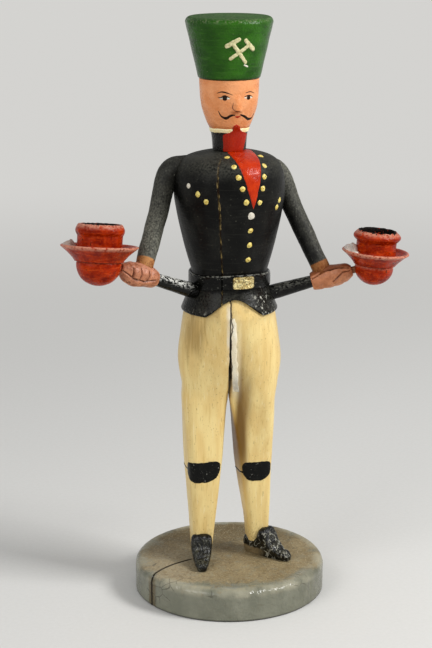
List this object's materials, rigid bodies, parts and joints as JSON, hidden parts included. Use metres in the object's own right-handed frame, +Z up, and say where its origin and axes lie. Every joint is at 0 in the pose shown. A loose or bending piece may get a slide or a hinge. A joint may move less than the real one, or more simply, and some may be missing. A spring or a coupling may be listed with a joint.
{
  "type": "miner figurine",
  "caption": "Turned and carved wooden miner in parade dress on a round base, holding a candle cup with drip saucer in each hand.",
  "frame": {"origin": "centre of the base's underside", "axes": "+Z up, the figure faces -Y, +X is the figure's left"},
  "size_m": [0.213, 0.119, 0.3591],
  "materials": {
    "base_paint": "worn grey paint, dusty on top",
    "shoe_paint": "glossy black paint",
    "trouser_paint": "satin cream yellow paint",
    "filler": "pale bare filler",
    "coat_paint": "worn black paint",
    "belt_paint": "glossy black paint",
    "gold_paint": "gold bronze paint",
    "hand_paint": "flesh paint",
    "cup_paint": "glossy red paint",
    "face_paint": "satin flesh paint",
    "hat_paint": "satin green paint",
    "bare_wood": "bare wood"
  },
  "bodies": {
    "root": {"base_disc": "base_paint", "right_leg": "trouser_paint", "left_leg": "trouser_paint", "seam_filler": "filler", "coat": "coat_paint", "right_shoe": "shoe_paint", "right_foot_dowel": "bare_wood", "right_hip_dowel": "bare_wood", "right_shoulder_dowel": "bare_wood", "left_shoe": "shoe_paint", "left_foot_dowel": "bare_wood", "left_hip_dowel": "bare_wood", "left_shoulder_dowel": "bare_wood", "neck_dowel": "bare_wood", "hat_dowel": "bare_wood", "belt": "belt_paint", "buckle": "gold_paint", "right_rod": "belt_paint", "right_hand": "hand_paint", "right_sleeve": "coat_paint", "left_rod": "belt_paint", "left_hand": "hand_paint", "left_sleeve": "coat_paint", "right_cup_bowl": "cup_paint", "right_drip_saucer": "cup_paint", "right_candle_socket": "cup_paint", "left_cup_bowl": "cup_paint", "left_drip_saucer": "cup_paint", "left_candle_socket": "cup_paint", "head": "face_paint", "hat": "hat_paint"}
  },
  "joints": []
}
